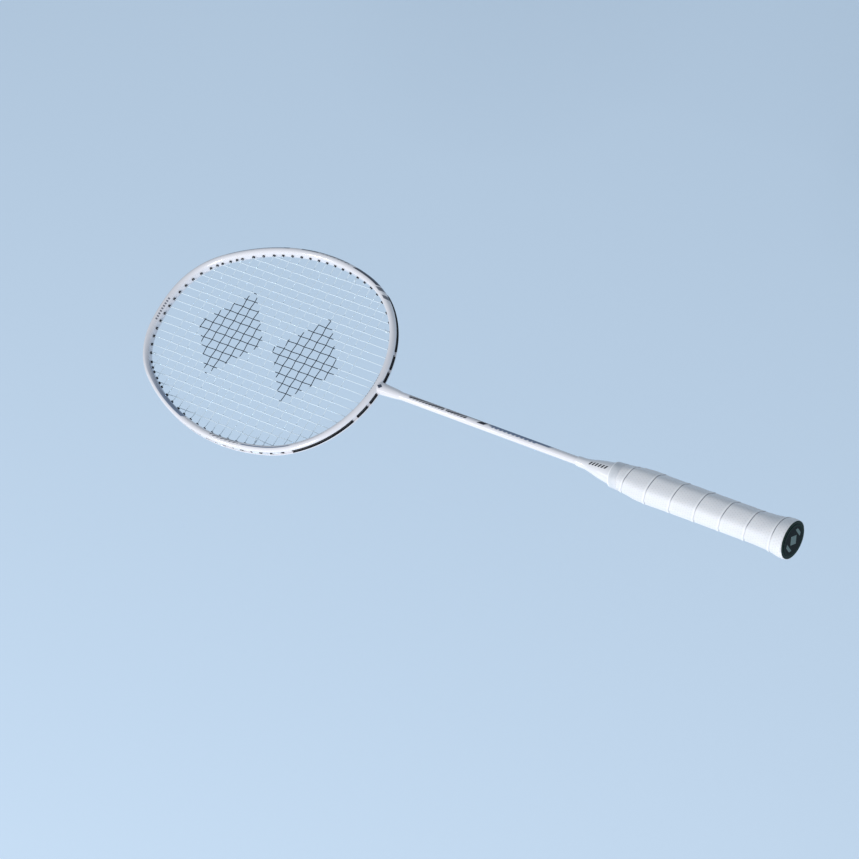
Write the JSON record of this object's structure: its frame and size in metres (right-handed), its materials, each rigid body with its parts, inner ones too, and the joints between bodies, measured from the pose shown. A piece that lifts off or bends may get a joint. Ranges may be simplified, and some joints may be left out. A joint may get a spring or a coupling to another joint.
{
  "type": "badminton racket",
  "caption": "Strung badminton racket with an oval head, thin straight shaft, tapered cone and a flared, spirally wrapped grip.",
  "frame": {"origin": "centre of the flat end face of the butt", "axes": "+Y along the shaft to the tip of the head, +Z out of the front of the string bed, +X to the side; the racket lies flat"},
  "size_m": [0.1956, 0.675, 0.0306],
  "materials": {
    "frame_lacquer": "clear-coated white lacquer over moulded carbon fibre",
    "shaft_lacquer": "clear-coated white lacquer over a carbon tube",
    "cone_plastic": "glossy white moulded plastic",
    "handle_wood": "raw light wood",
    "butt_plastic": "satin black moulded plastic",
    "badge_enamel": null,
    "grip_foam": "soft white perforated polyurethane grip",
    "finishing_tape": "thin white elastic tape",
    "string_nylon": "translucent white multifilament nylon",
    "grommet_nylon": "black moulded nylon"
  },
  "bodies": {
    "root": {"head_frame": "frame_lacquer", "t_joint": "frame_lacquer", "shaft": "shaft_lacquer", "cone_cap": "cone_plastic", "handle_core": "handle_wood", "butt_cap": "butt_plastic", "butt_badge": "badge_enamel", "grip_tape": "grip_foam", "grip_finishing_tape": "finishing_tape", "main_string": "string_nylon", "cross_string": "string_nylon", "tip_grommets": "grommet_nylon", "left_side_grommets": "grommet_nylon", "right_side_grommets": "grommet_nylon", "shared_grommets": "grommet_nylon", "lower_strip_left": "grommet_nylon", "lower_strip_right": "grommet_nylon", "throat_strip_inner_left": "grommet_nylon", "throat_strip_inner_right": "grommet_nylon", "throat_strip_outer_left": "grommet_nylon", "throat_strip_outer_right": "grommet_nylon"}
  },
  "joints": []
}
